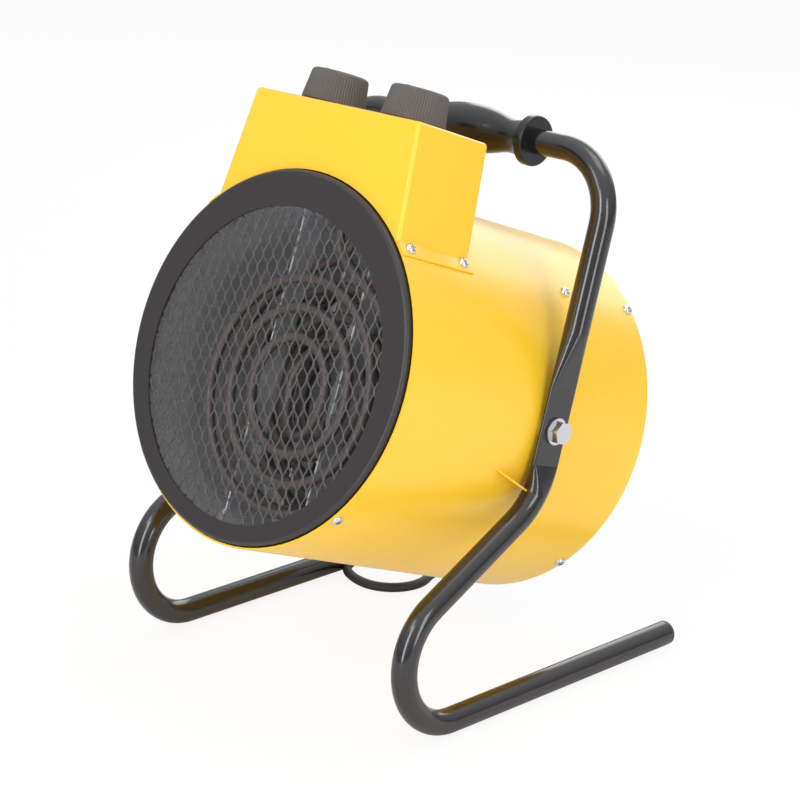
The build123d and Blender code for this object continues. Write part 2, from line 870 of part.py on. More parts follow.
# --------------------------------------------------------- rear cover
def rear_cover():
    """Dished cover with rings of air slots, screwed inside the shell."""
    outer_r = shell_inner - seat_gap
    solid = drum(outer_r, cover_face, cover_face + cover_rim)
    rim = solid.edges().filter_by(GeomType.CIRCLE).sort_by(Axis.Y)[-1]
    solid = fillet(rim, cover_round)
    front = cover_face + cover_rim + 1
    cover = solid - drum(outer_r - cover_wall, cover_face + cover_wall, front)
    web = 2 * (slot_inner_r + slot_rings * slot_step)
    centre = Pos(0, -cover_face, -duct_drop)
    webs = centre * Box(web, 4 * cover_wall, slot_web)
    webs += centre * Box(slot_web, 4 * cover_wall, web)
    for ring in range(slot_rings):
        inner = slot_inner_r + ring * slot_step
        slot = pipe(inner + slot_wide, inner, cover_face - cover_wall,
                    cover_face + 2 * cover_wall, duct_drop)
        cover -= slot - webs
    gland = Rot(90, 0, 0) * Cylinder(gland_neck_r + running_gap, 4 * cover_wall)
    cover -= Pos(gland_x, -cover_face, gland_z) * gland
    return cover - screw_holes()


def gland_bar(face, back, front):
    """A face drawn out along the gland, between distances from the cover."""
    plane = across(cover_face + back) * Pos(gland_x, gland_z)
    return extrude(plane * face, front - back)


def cable_gland():
    """Tapered cord grip that points straight back from the cover."""
    start = across(cover_face - gland_flange) * Pos(gland_x, gland_z)
    end = across(cover_face - gland_long) * Pos(gland_x, gland_z)
    gland = loft([start * Circle(gland_neck_r), end * Circle(gland_tip_r)])
    gland += gland_bar(Circle(gland_r), -gland_flange, -seat_gap)
    inner_end = cover_wall + seat_gap + gland_flange
    gland += gland_bar(Circle(gland_neck_r), -gland_flange, inner_end)
    return gland + gland_bar(hexagon(2 * gland_r), cover_wall + seat_gap, inner_end)


# ------------------------------------------------------ controls
def knob(x):
    """Round knob with grooved sides, pocketed below for the bush."""
    base = Plane(origin=(x, -knob_ahead, box_top + knob_lift))
    top = base.offset(knob_high)
    body = loft([base * Circle(knob_base_r), top * Circle(knob_top_r)])
    body = fillet(body.faces().sort_by(Axis.Z)[-1].edges(), 1.2)
    foot = Vector(knob_base_r, 0, 0)
    slant = Vector(knob_top_r - knob_base_r, 0, knob_high)
    start = Plane(origin=foot + slant * 0.3, z_dir=slant)
    groove = Solid.make_cylinder(knob_groove_r, slant.length, start)
    turns = range(knob_grooves)
    body -= [base.location * Rot(0, 0, k * 360 / knob_grooves) * groove for k in turns]
    body -= extrude(base * Circle(knob_pocket_r), knob_pocket)
    bore = Circle(spindle_r + running_gap)
    return body - extrude(base * bore, spindle_up - knob_lift + seat_gap)


def spindle(x):
    low = Plane(origin=(x, -knob_ahead, box_top - spindle_down))
    return extrude(low * Circle(spindle_r), spindle_down + spindle_up)


def control(x, high):
    """Switch or thermostat under the box's top, with its threaded bush."""
    top = box_top - box_wall - seat_gap
    body = Pos(x, -knob_ahead, top - high / 2) * Box(control_wide, control_wide, high)
    bush = Plane(origin=(x, -knob_ahead, top - 1))
    body += extrude(bush * Circle(bush_r), box_top + bush_up - top + 1)
    low = Plane(origin=(x, -knob_ahead, box_top - spindle_down - body_gap))
    return body - extrude(low * Circle(spindle_r + running_gap), 2 * spindle_down)


def thermostat_bulb():
    """Sensing bulb behind the box, with its capillary to the thermostat."""
    low = box_top - box_wall - seat_gap - thermostat_high
    roof = shell_inner - axis_drop - 8
    behind = bulb_behind - box_back
    x = control_wide / 3 - knob_x
    points = [(x, -knob_ahead, low), (x, -knob_ahead, low - 14)]
    points += [(x, -box_back - 12, roof), (x, behind, roof - 2)]
    line = bent(points)
    end = Plane(origin=line @ 1, z_dir=line % 1)
    return tube_on(line, capillary_r) + extrude(end * Circle(bulb_r), bulb_long)


def thermal_cutout():
    """Safety cut-out on top of the duct, beside the element leads."""
    a = math.radians(cutout_angle)
    out = Vector(math.cos(a), 0, math.sin(a))
    spot = Vector(0, -box_back - 10, -duct_drop) + out * (duct_r + 0.6)
    plane = Plane(origin=spot, x_dir=(0, -1, 0), z_dir=out)
    return extrude(plane * Circle(cutout_r), cutout_high)


def terminal_block():
    """Block with four screw wells, on the rear wall of the box."""
    behind = seat_gap + block_deep / 2 + box_wall - box_front
    middle = Vector(0, behind, box_top - block_sink)
    block = Pos(*middle) * Box(block_wide, block_deep, block_high)
    for k in range(4):
        well = Pos((k - 1.5) * block_wide / 4, 0, block_high / 2) * Cylinder(3, 8)
        block -= Pos(*middle) * well
    return block


def inner_lead():
    """Supply lead inside the shell, from the gland up to the box."""
    start = -cover_face - cover_wall - seat_gap - gland_flange
    ring = shell_inner - 2.5 * inner_cord_r
    points = [(gland_x, start, gland_z), (gland_x, start - 14, gland_z)]
    for angle, behind in ((200, 66), (170, 64), (140, 66), (118, 56), (118, -50)):
        a = math.radians(angle)
        across_x = ring * math.cos(a)
        points.append((across_x, behind, ring * math.sin(a) - axis_drop))
    points += [(-43, -box_back - 15, shell_inner - 11.5)]
    points += [(-38, -box_back - 33, box_top - 34.7)]
    return tube_on(bent(points), inner_cord_r)


def inner_wires():
    """Wires from the element terminals to the terminal block."""
    wires = []
    height = lead_top + terminal_high + pin_high
    block_y = seat_gap + block_deep / 2 + box_wall - box_front
    block_low = box_top - block_sink - block_high / 2 - seat_gap
    for well, (x, ahead) in zip((1, -1, 3, -3), lead_places()):
        goal = Vector(well * block_wide / 8, block_y, block_low)
        start = Vector(x, -ahead, height + seat_gap)
        level = Vector(goal.X, block_y + 12, height + 5)
        under = goal - Vector(0, 0, 6)
        points = [start, start + Vector(0, 0, 5), level, under, goal]
        wires.append(tube_on(bent(points), wire_r))
    return wires


# ------------------------------------------------------ screws and bolts
def shell_screws():
    """Pan head screws with cross recesses, round the shell."""
    screws = []
    slot = Pos(0, 0, head_high) * Box(recess_long, recess_wide, 2 * recess_deep)
    for place in screw_places():
        head = extrude(place * Circle(head_r), head_high)
        head -= place.location * slot
        head -= place.location * Rot(0, 0, 90) * slot
        screws.append(head + extrude(place * Circle(screw_r), -screw_long))
    return screws


def cross_screws():
    """Screws that hold the motor cross to the duct."""
    screws = []
    for place in cross_planes():
        head = extrude(place.offset(seat_gap) * Circle(head_r), head_high)
        screws.append(head + extrude(place.offset(1) * Circle(screw_r), -6))
    return screws


def pivot_bolts():
    face = leg_out + body_gap + washer_thick + seat_gap
    head = sideways(hexagon(bolt_flats), face, face + bolt_head)
    return both_sides([head + sideways(Circle(bolt_r), face - bolt_long, face)])


def pivot_washers():
    """Outer washers, and spacers between the shell and the legs."""
    ring = Circle(washer_r) - Circle(bolt_r + running_gap)
    outer = sideways(ring, leg_out + body_gap, leg_out + body_gap + washer_thick)
    spacer = sideways(ring, shell_r + running_gap, leg_in - body_gap)
    return both_sides([outer, spacer])


def pivot_nuts():
    """Backing plates and nuts inside the shell."""
    hole = Circle(bolt_r + running_gap)
    sag = shell_inner - math.sqrt(shell_inner ** 2 - (plate_half + axis_drop) ** 2)
    face = shell_inner - sag - seat_gap
    outline = Rectangle(3 * plate_half, 2 * plate_half) - hole
    plate = sideways(outline, face - plate_thick, face)
    end = face - plate_thick - seat_gap
    nut = sideways(hexagon(bolt_flats) - hole, end - nut_thick, end)
    return both_sides([plate, nut])


# ------------------------------------------------------------------ cord
def cord_hanging():
    """Cord from the gland's tip down to the floor beside the left foot."""
    tip = heater_place * Pos(gland_x, gland_long - cover_face, gland_z)
    start = tip.position
    back = Vector(0, math.cos(turn), -math.sin(turn))
    points = [start, start + back * 42, on_floor(-92, 148, 30)]
    points += [on_floor(-110.5, 124), on_floor(-110.5, 88)]
    path = bent(points)
    solid = tube_on(path, cord_r)
    measure_tube("hanging cord", path, solid, cord_r)
    return solid


def coil_sides():
    """Distances of the coil's turns from its middle, at every half turn."""
    half_pitch = (2 * cord_r + coil_gap) / 2
    halves = 2 * coil_turns
    outer = coil_mid_r + half_pitch * halves / 2
    return [outer - k * half_pitch for k in range(halves + 1)]


def cord_floor():
    """Cord on the floor: a turn back past the left foot, then to the coil."""
    side = coil_x + coil_sides()[0]
    points = [on_floor(-110.5, 88), on_floor(-110.5, 57), on_floor(-93.4, 40)]
    points += [on_floor(-69, 40), on_floor(-52, 57), on_floor(-52.5, 84)]
    points += [on_floor(-60, 124), on_floor(side, 170), on_floor(side, coil_behind)]
    path = bent(points)
    solid = tube_on(path, cord_r)
    measure_tube("cord on the floor", path, solid, cord_r)
    return solid


def cord_coil():
    """Spare length: a layer of turns inwards and a layer outwards."""
    sides = coil_sides()
    crossing = 2 * sides[-1] - sides[-2]
    low = tie_thick + tie_gap
    high = low + 2 * cord_r + coil_lift
    more = [low] * (len(sides) - 1) + [high] * (len(sides) - 1)
    heights = [0.0] + more + [plug_r - cord_r]
    middle = on_floor(coil_x, coil_behind)
    sides = sides + [crossing] + sides[-2::-1]
    arcs = half_turns(middle, 1, sides, heights)
    end = arcs[-1] @ 1
    path = Wire(arcs + [Line(end, end - Vector(0, tail, 0))])
    solid = tube_on(path, cord_r)
    measure_tube("cord coil", path, solid, cord_r, 1600)
    return solid


def cord_tie():
    """Strap round the turns at the front of the coil."""
    sides = coil_sides()
    inner = sides[-1] - cord_r - 6 * tie_gap
    outer = (sides[1] + sides[2]) / 2 + cord_r + 3 * tie_gap
    high = 4 * cord_r + coil_lift + 4 * tie_gap
    spot = on_floor(coil_x, coil_behind - (inner + outer) / 2, tie_thick + high / 2)
    room = Box(2 * tie_wide, outer - inner, high)
    strap = Box(tie_wide, outer - inner + 2 * tie_thick, high + 2 * tie_thick)
    return Pos(*spot) * (strap - room)


def plug_plane(along):
    """A plane across the plug, this far along from its cord grip."""
    start = on_floor(coil_x - coil_sides()[0], coil_behind - tail, plug_r)
    return Plane(origin=start, x_dir=(1, 0, 0), z_dir=(0, -1, 0)).offset(along)


def plug_body():
    """Moulded plug with a tapered cord grip, lying on the floor."""
    relief = loft([plug_plane(0) * Circle(cord_r + 1),
                   plug_plane(plug_relief) * Circle(plug_relief_r)])
    body = extrude(plug_plane(plug_relief) * Circle(plug_r), plug_long)
    body = fillet(body.faces().sort_by(Axis.Y)[-1].edges(), plug_r / 2)
    return relief + body


def plug_pins():
    pin = extrude(plug_plane(plug_relief + plug_long) * Circle(plug_pin_r),
                  plug_pin_long)
    return [Pos(x, 0, 0) * pin for x in (-plug_pin_half, plug_pin_half)]


def save(node, things, tipped=True):
    """Write one node, tipped with the heater or standing as it is."""
    things = things if isinstance(things, list) else [things]
    solids = []
    for thing in things:
        solids += (heater_place * thing if tipped else thing).solids()
    shape = solids[0] if len(solids) == 1 else Compound(solids)
    export_step(shape, f"parts/{node}.step")
    sound = all(s.is_valid for s in solids)
    print(node, len(solids), "solids", round(shape.volume), "mm3",
          "" if sound else "NOT VALID")


os.makedirs("parts", exist_ok=True)
save("stand_tube", stand_tube(), False)
save("handle_grip", handle_grip(), False)
save("foot_caps", foot_caps(), False)
save("cord_floor", cord_floor(), False)
save("cord_coil", cord_coil(), False)
save("cord_tie", cord_tie(), False)
save("plug_body", plug_body(), False)
save("plug_pins", plug_pins(), False)
save("cord_hanging", cord_hanging(), False)
save("outer_shell", outer_shell())
save("control_box", control_box())
save("front_ring", front_ring())
save("front_grille", front_grille())
save("inner_duct", inner_duct())
save("duct_brackets", duct_brackets())
save("heating_element_front", heating_element(0))
save("heating_element_rear", heating_element(1))
save("element_spacers", element_spacers())
save("element_terminals", element_terminals())
save("fan_impeller", fan_impeller())
save("fan_nut", fan_nut())
save("motor_rotor", motor_rotor())
save("motor_cross", motor_cross())
save("motor_frames", motor_frames())
save("motor_bearings", motor_bearings())
save("motor_laminations", motor_laminations())
save("motor_coil", motor_coil())
save("motor_bolts", motor_bolts())
save("rear_cover", rear_cover())
save("cable_gland", cable_gland())
save("thermostat_knob", knob(-knob_x))
save("thermostat_spindle", spindle(-knob_x))
save("switch_knob", knob(knob_x))
save("switch_spindle", spindle(knob_x))
save("thermostat_body", control(-knob_x, thermostat_high))
save("rotary_switch", control(knob_x, switch_high))
save("thermostat_bulb", thermostat_bulb())
save("thermal_cutout", thermal_cutout())
save("terminal_block", terminal_block())
save("inner_lead", inner_lead())
save("inner_wires", inner_wires())
save("shell_screws", shell_screws())
save("cross_screws", cross_screws())
save("pivot_bolts", pivot_bolts())
save("pivot_washers", pivot_washers())
save("pivot_nuts", pivot_nuts())
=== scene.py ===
import math
import bmesh
import bpy
from mathutils import Matrix, Vector


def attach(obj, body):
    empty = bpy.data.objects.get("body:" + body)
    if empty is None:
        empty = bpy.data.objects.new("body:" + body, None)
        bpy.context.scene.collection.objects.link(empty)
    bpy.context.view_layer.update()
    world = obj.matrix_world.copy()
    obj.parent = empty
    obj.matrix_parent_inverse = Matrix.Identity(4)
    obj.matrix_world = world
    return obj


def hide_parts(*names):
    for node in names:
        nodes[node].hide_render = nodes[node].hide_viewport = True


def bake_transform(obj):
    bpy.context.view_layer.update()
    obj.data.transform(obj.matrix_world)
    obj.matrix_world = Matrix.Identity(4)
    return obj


# Round forced air heater on a bent tube stand. Metres, +Z up, blowing to -Y.
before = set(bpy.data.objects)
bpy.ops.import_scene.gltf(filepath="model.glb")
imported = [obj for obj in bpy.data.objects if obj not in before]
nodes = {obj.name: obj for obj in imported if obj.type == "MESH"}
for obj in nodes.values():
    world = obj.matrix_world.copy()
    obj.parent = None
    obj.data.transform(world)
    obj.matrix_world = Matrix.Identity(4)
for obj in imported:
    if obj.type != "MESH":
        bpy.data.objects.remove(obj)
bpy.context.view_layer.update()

# --- camera ---------------------------------------------------------------
# Stands a little to the right of the outlet, above the height of the handle,
# and looks down at the heater through a long lens.
seen_from = Vector((1.1550, -1.1610, 0.6877))
right = Vector((0.70763, 0.70639, 0.01717))
upward = Vector((-0.22451, 0.20173, 0.95338))
backward = Vector((0.66998, -0.67848, 0.30133))
lens = bpy.data.cameras.new("camera")
lens.lens = 120.88
lens.sensor_width = 36.0
lens.clip_start = 0.05
camera = bpy.data.objects.new("camera", lens)
bpy.context.scene.collection.objects.link(camera)
turned = Matrix((right, upward, backward)).transposed().to_4x4()
camera.matrix_world = Matrix.Translation(seen_from) @ turned
bpy.context.scene.camera = camera


# --- supply cord ----------------------------------------------------------
# Black rubber sheathed cord, 6.6 mm thick, that leaves the gland, drops to the
# floor, loops round beside the left foot and runs back to its spare length,
# which is wound in a flat coil of two layers behind the heater.
def put(thing, name, *finishes):
    """Name an object or mesh, link it and give it its finishes."""
    if isinstance(thing, bpy.types.Mesh):
        thing = bpy.data.objects.new(name, thing)
    thing.name = name
    bpy.context.scene.collection.objects.link(thing)
    if finishes:
        thing.data.materials.clear()
    for finish in finishes:
        thing.data.materials.append(finish)
    return thing


def surface(name, colour, shade, rough, metal=0.0, grain=400.0, bump=0.1, spread=0.06,
            mapped=None, extra=()):
    """A finish whose colour drifts between two shades, with a fine grain in
    its gloss and its relief. grain is the number of fine patches in a metre,
    and the drift of the colour is twelve times as wide."""
    finish = bpy.data.materials.new(name)
    finish.use_nodes = True
    tree = finish.node_tree
    shader = tree.nodes["Principled BSDF"]
    shader.inputs["Metallic"].default_value = metal
    for quality, value in extra:
        shader.inputs[quality].default_value = value
    where = tree.nodes.new("ShaderNodeTexCoord").outputs["Object"]
    if mapped:
        mapping = tree.nodes.new("ShaderNodeMapping")
        mapping.inputs["Rotation"].default_value, mapping.inputs["Scale"].default_value = mapped
        tree.links.new(where, mapping.inputs["Vector"])
        where = mapping.outputs["Vector"]
    broad = tree.nodes.new("ShaderNodeTexNoise")
    broad.inputs["Scale"].default_value = grain / 12
    broad.inputs["Detail"].default_value = 3.0
    fine = tree.nodes.new("ShaderNodeTexNoise")
    fine.inputs["Scale"].default_value = grain
    fine.inputs["Detail"].default_value = 4.0
    mix = tree.nodes.new("ShaderNodeMix")
    mix.data_type = "RGBA"
    mix.inputs[6].default_value = (*colour, 1)
    mix.inputs[7].default_value = (*shade, 1)
    gloss = tree.nodes.new("ShaderNodeMapRange")
    gloss.inputs["To Min"].default_value = max(0.02, rough - spread)
    gloss.inputs["To Max"].default_value = rough + spread
    relief = tree.nodes.new("ShaderNodeBump")
    relief.inputs["Strength"].default_value = bump
    relief.inputs["Distance"].default_value = 0.0004
    for noise in (broad, fine):
        tree.links.new(where, noise.inputs["Vector"])
    tree.links.new(broad.outputs["Fac"], mix.inputs[0])
    tree.links.new(mix.outputs[2], shader.inputs["Base Color"])
    tree.links.new(fine.outputs["Fac"], gloss.inputs["Value"])
    tree.links.new(gloss.outputs["Result"], shader.inputs["Roughness"])
    tree.links.new(fine.outputs["Fac"], relief.inputs["Height"])
    tree.links.new(relief.outputs["Normal"], shader.inputs["Normal"])
    return finish


cord_rubber = surface("cord_rubber", (0.020, 0.020, 0.021), (0.028, 0.027, 0.027),
                      0.52, grain=1500, bump=0.25)
cord_thick = 0.0066
route = [(-0.0720, 0.11517, 0.0734), (-0.0720, 0.14894, 0.06092),
         (-0.0880, 0.16200, 0.0220), (-0.1102, 0.14363, 0.0033),
         (-0.1177, 0.11759, 0.0033), (-0.1235, 0.09451, 0.0033),
         (-0.1160, 0.07317, 0.0033), (-0.0958, 0.06329, 0.0033),
         (-0.0759, 0.06295, 0.0033), (-0.0614, 0.07446, 0.0033),
         (-0.0575, 0.09278, 0.0033), (-0.0669, 0.11078, 0.0033),
         (-0.0660, 0.12998, 0.0033), (-0.0655, 0.14800, 0.0033),
         (-0.06505, 0.18926, 0.0033)]
coil_x, coil_y, coil_mid_r, coil_turns, coil_steps = -0.112, 0.231255, 0.036, 3, 6
coil_gap, layer_gap, first_lift, plug_level, tail = 0.0007, 0.0003, 0.0013, 0.0170, 0.055

# Half turns step inwards on the lower layer, rise and step out on the upper.
halves = 2 * coil_turns
half_pitch = (cord_thick + coil_gap) / 2
widest = coil_mid_r + half_pitch * coil_turns
inward = [widest - half_pitch * k for k in range(halves + 2)]
sides = inward + inward[-3::-1]
coil_middle = Vector((coil_x, coil_y, cord_thick / 2))
second_lift = first_lift + cord_thick + layer_gap
lifts = [0.0] + [first_lift] * halves + [second_lift] * halves + [plug_level - cord_thick / 2]
corner = 1 / math.cos(math.pi / (2 * coil_steps))
for k in range(len(sides) - 1):
    way = (-1) ** k
    start = coil_middle + Vector((sides[k] * way, 0, lifts[k]))
    end = coil_middle + Vector((-sides[k + 1] * way, 0, lifts[k + 1]))
    half = (start - end) / 2
    across = Vector((half.x, 0, 0))
    swing = Vector((0, half.length * way, 0))
    for step in range(coil_steps):
        gone = (step + 0.5) / coil_steps
        a = math.pi * gone
        spot = (start + end) / 2 + (across * math.cos(a) + swing * math.sin(a)) * corner
        spot.z = start.z + (end.z - start.z) * gone
        route.append(tuple(spot))
route += [(coil_x - widest, 0.2130, plug_level), (coil_x - widest, coil_y - tail, plug_level)]

line = bpy.data.curves.new("cord_line", "CURVE")
line.dimensions = "3D"
line.resolution_u = 8
spline = line.splines.new("NURBS")
spline.points.add(len(route) - 1)
for point, spot in zip(spline.points, route):
    point.co = (*spot, 1)
spline.order_u = 3
spline.use_endpoint_u = True
cord_line = put(bpy.data.objects.new("cord_line", line), "cord_line")
bpy.context.view_layer.update()
thread = bpy.data.meshes.new_from_object(cord_line)
line.bevel_depth = cord_thick / 2
line.bevel_resolution = 5
line.use_fill_caps = True
bpy.context.view_layer.update()
sheath = bpy.data.meshes.new_from_object(cord_line)
bpy.data.objects.remove(cord_line)
sheath.shade_smooth()
cord = put(sheath, "supply_cord", cord_rubber)
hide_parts("cord_hanging", "cord_floor", "cord_coil")
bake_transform(cord)


# --- plug, pins and tie ---------------------------------------------------
# Moulded rubber plug with two round nickel plated pins, lying beside the coil,
# and a black nylon strap that holds the turns together.
def coat(node, finish):
    """Give a node of the frame its finish."""
    nodes[node].data.materials.clear()
    nodes[node].data.materials.append(finish)


tie_nylon = surface("tie_nylon", (0.018, 0.018, 0.018), (0.03, 0.03, 0.03), 0.42, grain=900)
pin_nickel = surface("pin_nickel", (0.80, 0.78, 0.72), (0.72, 0.70, 0.66), 0.2, 1.0,
                     grain=900, bump=0.05)
coat("plug_body", cord_rubber)
coat("plug_pins", pin_nickel)
coat("cord_tie", tie_nylon)

# --- floor and light ------------------------------------------------------
# White floor and white surroundings, a tall strip in front of the right side,
# a small lamp high in front, one at the side, one above and a broad one behind.
floor_half = 6.0
floor_mesh = bpy.data.meshes.new("floor")
floor_mesh.from_pydata([(floor_half * x, floor_half * y, 0)
                        for x, y in ((-1, -1), (1, -1), (1, 1), (-1, 1))], [], [(0, 1, 2, 3)])
floor_paint = bpy.data.materials.new("floor_paint")
floor_paint.use_nodes = True
tree = floor_paint.node_tree
matt = tree.nodes["Principled BSDF"]
matt.inputs["Base Color"].default_value = (0.93, 0.93, 0.93, 1)
matt.inputs["Roughness"].default_value = 0.7
glow = tree.nodes.new("ShaderNodeEmission")
glow.inputs["Strength"].default_value = 1.02
rays = tree.nodes.new("ShaderNodeLightPath")
whitened = tree.nodes.new("ShaderNodeMath")
whitened.operation = "MULTIPLY"
whitened.inputs[1].default_value = 0.86
shown = tree.nodes.new("ShaderNodeMixShader")
tree.links.new(rays.outputs["Is Camera Ray"], whitened.inputs[0])
tree.links.new(whitened.outputs[0], shown.inputs[0])
tree.links.new(matt.outputs[0], shown.inputs[1])
tree.links.new(glow.outputs[0], shown.inputs[2])
tree.links.new(shown.outputs[0], tree.nodes["Material Output"].inputs["Surface"])
floor = put(floor_mesh, "floor", floor_paint)

# What gloss mirrors grows lighter with height. Matt faces are lit evenly, and
# the camera and whatever is seen through meet plain white.
world = bpy.data.worlds.new("surroundings")
bpy.context.scene.world = world
world.use_nodes = True
tree = world.node_tree
sky = tree.nodes["Background"]
sky.inputs["Color"].default_value = (1, 1, 1, 1)
rays = tree.nodes.new("ShaderNodeLightPath")
heading = tree.nodes.new("ShaderNodeTexCoord")
parts = tree.nodes.new("ShaderNodeSeparateXYZ")
mirrored = tree.nodes.new("ShaderNodeMapRange")
mirrored.inputs["To Min"].default_value = 0.35
mirrored.inputs["To Max"].default_value = 1.3
tree.links.new(heading.outputs["Generated"], parts.inputs[0])
tree.links.new(parts.outputs["Z"], mirrored.inputs["Value"])
level = mirrored.outputs["Result"]
for ray, strength in (("Is Diffuse Ray", 0.60), ("Is Camera Ray", 1.0),
                      ("Is Transmission Ray", 1.0)):
    pick = tree.nodes.new("ShaderNodeMix")
    pick.inputs[3].default_value = strength
    tree.links.new(rays.outputs[ray], pick.inputs[0])
    tree.links.new(level, pick.inputs[2])
    level = pick.outputs[0]
tree.links.new(level, sky.inputs["Strength"])


def lamp(name, place, aim, size, power):
    """A soft lamp of this width and height that looks at a point."""
    data = bpy.data.lights.new(name, "AREA")
    data.shape = "RECTANGLE"
    data.size, data.size_y = size
    data.energy = power
    thing = bpy.data.objects.new(name, data)
    bpy.context.scene.collection.objects.link(thing)
    facing = (Vector(aim) - Vector(place)).to_track_quat("-Z", "Y")
    thing.matrix_world = Matrix.Translation(place) @ facing.to_matrix().to_4x4()
    thing.visible_camera = False


lamp("front_strip", (0.42, -1.60, 0.80), (0, 0, 0.2), (0.40, 1.5), 12)
lamp("high_lamp", (-0.15, -1.30, 1.45), (0, -0.05, 0.15), (0.5, 0.4), 2.2)
lamp("side_lamp", (1.6, -0.3, 0.7), (0, 0, 0.2), (0.4, 1.2), 7)
lamp("top_lamp", (0.3, 0.4, 1.7), (0, 0, 0.2), (0.8, 0.8), 4)
lamp("back_lamp", (-0.6, 1.7, 0.9), (0, 0, 0.2), (1.6, 0.9), 9)
bpy.context.scene.view_settings.view_transform = "Standard"

# --- stand ----------------------------------------------------------------
# One 16 mm steel tube, bent, pressed flat where the pivot bolts pass, and
# coated gloss black. Plastic plugs close the rear ends of its feet.
tube_black = surface("tube_black", (0.008, 0.006, 0.009), (0.012, 0.010, 0.013), 0.15,
                     grain=700, bump=0.04, spread=0.04, extra=[("Specular IOR Level", 0.8)])
cap_plastic = surface("cap_plastic", (0.03, 0.03, 0.03), (0.045, 0.044, 0.044), 0.5, grain=900)
coat("stand_tube", tube_black)
coat("foot_caps", cap_plastic)

# --- grip -----------------------------------------------------------------
# Moulded gloss plastic grip on the handle bar, swelling in the middle, with a
# neck and a flange at each end.
grip_black = surface("grip_black", (0.008, 0.008, 0.009), (0.012, 0.012, 0.013), 0.2,
                     grain=500, bump=0.04, spread=0.05)
coat("handle_grip", grip_black)

# --- shell ----------------------------------------------------------------
# Rolled steel sheet with gloss yellow powder coat, and a stop tab welded on
# each side that meets the knee of the leg.
nose_up = math.radians(20.3)
pivot = Vector((0, 0.019255, 0.175))
tipped = Matrix.Translation(pivot) @ Matrix.Rotation(-nose_up, 4, "X")
yellow_coat = surface("yellow_coat", (0.99, 0.61, 0.030), (0.96, 0.58, 0.027), 0.3,
                      grain=600, bump=0.05,
                      extra=[("Coat Weight", 0.22), ("Coat Roughness", 0.2)])
coat("outer_shell", yellow_coat)


# --- control box ----------------------------------------------------------
# Folded steel sheet in the same yellow, standing on feet that are turned out
# along the shell and screwed to it.
def meshed(name, made):
    """Keep what was made as a plain mesh of this name."""
    mesh = bpy.data.meshes.new(name)
    made.to_mesh(mesh)
    made.free()
    return mesh


def moved(mesh, place):
    """Move a mesh to its place, so that its object stays at the origin."""
    mesh.transform(place)
    return mesh


def softened(piece, width, segments):
    """Round the edges of a piece."""
    edge = piece.modifiers.new("edge", "BEVEL")
    edge.width = width
    edge.segments = segments


def fit(piece, body, slot, *solids):
    """Fix a piece to its body. It may stand for plain solids of the frame."""
    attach(piece, body)
    if solids:
        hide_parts(*solids)


box_top, box_half, box_flare = 0.1577, 0.0709, math.tan(math.radians(7.0))
box_front, box_back, box_wall, box_fold = -0.1332, -0.0688, 0.0012, 0.0024
shell_r, shell_drop, shell_steps = 0.1177, 0.0013, 24


def box_side(height):
    """Half the width of the box at this height above the pivot."""
    return box_half + (box_top - height) * box_flare


def box_foot(step=0.0005):
    """Angle round the shell at which the side of the box meets it."""
    angle = math.pi / 2
    while shell_r * math.cos(angle) < box_side(shell_r * math.sin(angle) - shell_drop):
        angle -= step
    return angle


foot_angle = box_foot()
sheet = bmesh.new()
loops = []
for y in (box_front, box_back):
    outline = [(-box_half, box_top), (box_half, box_top)]
    for k in range(shell_steps + 1):
        a = foot_angle + (math.pi - 2 * foot_angle) * k / shell_steps
        outline.append((shell_r * math.cos(a), shell_r * math.sin(a) - shell_drop))
    loops.append([sheet.verts.new((x, y, z)) for x, z in outline])
front_face, back_face = loops
sheet.faces.new(front_face[::-1])
sheet.faces.new(back_face)
for k in (0, 1, len(front_face) - 1):
    after = (k + 1) % len(front_face)
    sheet.faces.new((front_face[k], front_face[after], back_face[after], back_face[k]))
bmesh.ops.recalc_face_normals(sheet, faces=sheet.faces)
sheet.edges.ensure_lookup_table()
folds = [e for e in sheet.edges if len(e.link_faces) == 2]
bmesh.ops.bevel(sheet, geom=folds, offset=box_fold, segments=4, profile=0.5,
                affect="EDGES", clamp_overlap=True)
box_mesh = meshed("control_box_sheet", sheet)
box_mesh.shade_smooth()
control = put(moved(box_mesh, tipped), "control_box_sheet", yellow_coat)
wall = control.modifiers.new("wall", "SOLIDIFY")
wall.thickness = box_wall
wall.offset = -1.0
shading = control.modifiers.new("shading", "WEIGHTED_NORMAL")
shading.weight = 100


def plate_on_shell(name, ends, angles, steps=8, paint_gap=0.00005):
    """A strip of the box's sheet bent round the shell, between two places
    along it and two angles round it."""
    made = bmesh.new()
    rows = []
    for k in range(steps + 1):
        a = angles[0] + (angles[1] - angles[0]) * k / steps
        row = []
        for y in ends:
            for radius in (shell_r + paint_gap, shell_r + box_wall):
                spot = (radius * math.cos(a), y, radius * math.sin(a) - shell_drop)
                row.append(made.verts.new(spot))
        rows.append(row)
    order = (0, 1, 3, 2)
    for a, b in zip(rows, rows[1:]):
        for k in range(4):
            i, j = order[k], order[(k + 1) % 4]
            made.faces.new((a[i], a[j], b[j], b[i]))
    made.faces.new([rows[0][i] for i in order[::-1]])
    made.faces.new([rows[-1][i] for i in order])
    bmesh.ops.recalc_face_normals(made, faces=made.faces)
    return moved(meshed(name, made), tipped)


foot_out, foot_under = 0.0084 / shell_r, 0.012
right_span = (foot_angle - foot_out, foot_angle + foot_under)
left_span = (math.pi - foot_angle - foot_under, math.pi - foot_angle + foot_out)
feet = []
for name, span in (("box_foot_right", right_span), ("box_foot_left", left_span)):
    foot = put(plate_on_shell(name, (box_front, box_back), span), name, yellow_coat)
    softened(foot, 0.0004, 2)
    feet.append(foot)
for piece in [control] + feet:
    fit(piece, "heater", "yellow_paint", "control_box")

